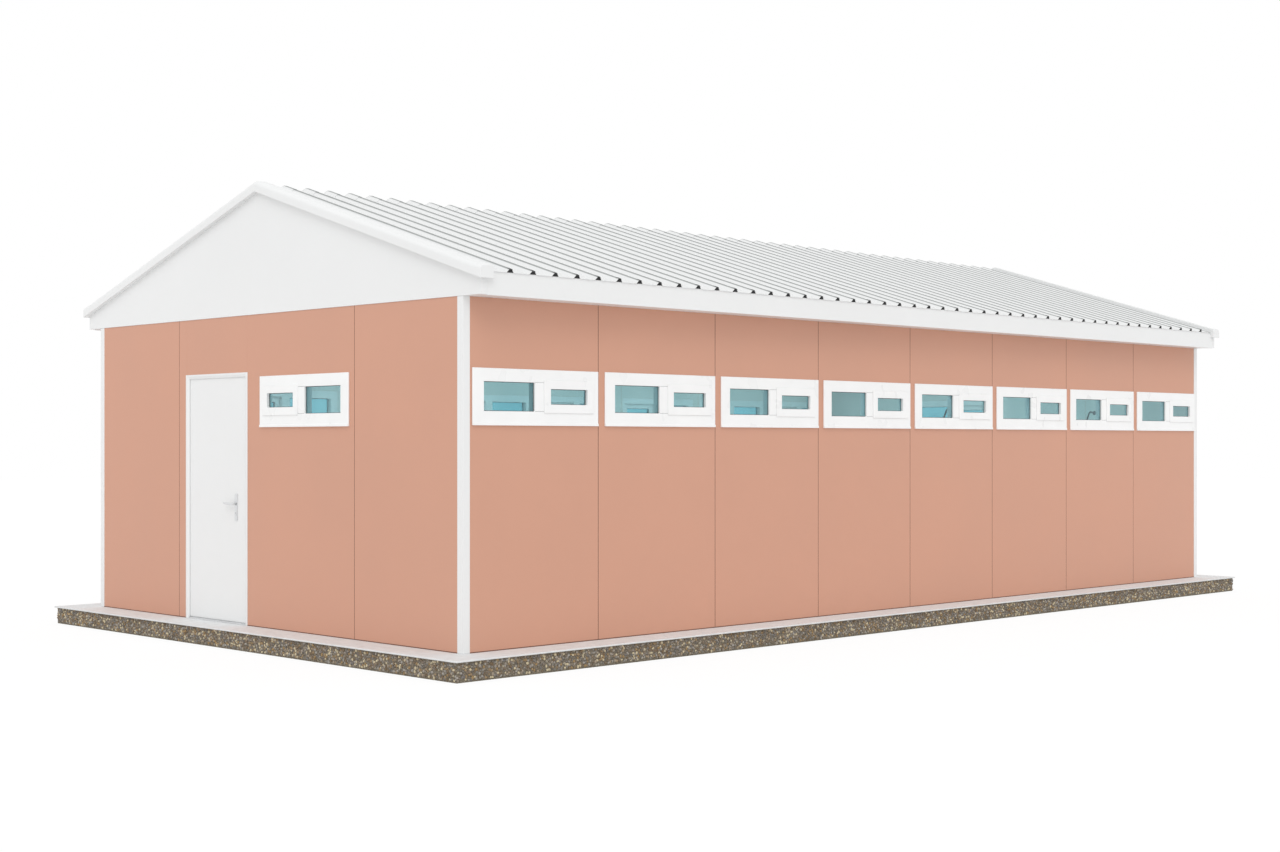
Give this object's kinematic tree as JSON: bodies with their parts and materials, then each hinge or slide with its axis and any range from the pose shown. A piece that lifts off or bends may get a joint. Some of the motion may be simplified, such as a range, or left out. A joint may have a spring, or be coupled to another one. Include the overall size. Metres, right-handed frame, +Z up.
{
  "type": "portable site cabin",
  "caption": "Long single-storey panel cabin on a raised base, with a ribbed gable roof, rows of small high windows and one door in the end wall.",
  "frame": {"origin": "centre of the underside of the raised base, on the ground", "axes": "+X out of the long wall beside the door gable, +Y from the door gable to the far gable, +Z up"},
  "size_m": [5.64, 10.67, 3.6339],
  "materials": {
    "salmon_panel": "matt pale terracotta paint on smooth panels",
    "white_steel": "satin white paint",
    "inner_white": "matt white paint",
    "roof_metal": "light grey coated ribbed sheet",
    "window_plastic": "white moulded plastic",
    "pane_glass": "tinted glass",
    "bare_metal": "satin metal",
    "pebble_side": "exposed pebbles in mortar",
    "base_cap": "smooth pale screed"
  },
  "bodies": {
    "cabin": {"ceiling": "inner_white", "corner_posts": "white_steel", "door_frame": "white_steel", "door_hinge_pins": "bare_metal", "door_threshold": "bare_metal", "front_gable_panel": "white_steel", "front_verge_trim": "white_steel", "front_wall_door_header": "salmon_panel", "front_wall_door_side_panel": "salmon_panel", "front_wall_left_panel": "salmon_panel", "front_wall_right_panel": "salmon_panel", "front_wall_window_panel": "salmon_panel", "front_window_frames": "window_plastic", "front_window_glass": "pane_glass", "front_window_sashes": "window_plastic", "left_fascia": "white_steel", "left_roof_sheet": "roof_metal", "left_soffit": "white_steel", "left_wall_panels": "salmon_panel", "left_window_frames": "window_plastic", "left_window_glass": "pane_glass", "left_window_sashes": "window_plastic", "plinth_base": "pebble_side", "plinth_cap": "base_cap", "rear_gable_panel": "white_steel", "rear_verge_trim": "white_steel", "rear_wall_panels": "salmon_panel", "rear_window_frames": "window_plastic", "rear_window_glass": "pane_glass", "rear_window_sashes": "window_plastic", "ridge_cap": "roof_metal", "right_fascia": "white_steel", "right_roof_sheet": "roof_metal", "right_soffit": "white_steel", "right_wall_panels": "salmon_panel", "right_window_frames": "window_plastic", "right_window_glass": "pane_glass", "right_window_sashes": "window_plastic", "shower_arms": "bare_metal"},
    "door": {"door_leaf": "white_steel", "door_handle_plates": "bare_metal", "door_hinge_barrels": "bare_metal"},
    "lever": {"door_lever": "bare_metal"}
  },
  "joints": [
    {"name": "door_swing", "type": "hinge", "parent": "cabin", "child": "door", "pos_m": [-1.0545, -4.975, 1], "axis": [0, 0, 1], "range_deg": [0, 95]},
    {"name": "lever_turn", "type": "hinge", "parent": "door", "child": "lever", "pos_m": [-0.344, -5.08, 1.105], "axis": [0, -1, 0], "range_deg": [0, 40], "stiffness_Nm_per_rad": 1.5, "springref_deg": -28.65}
  ]
}
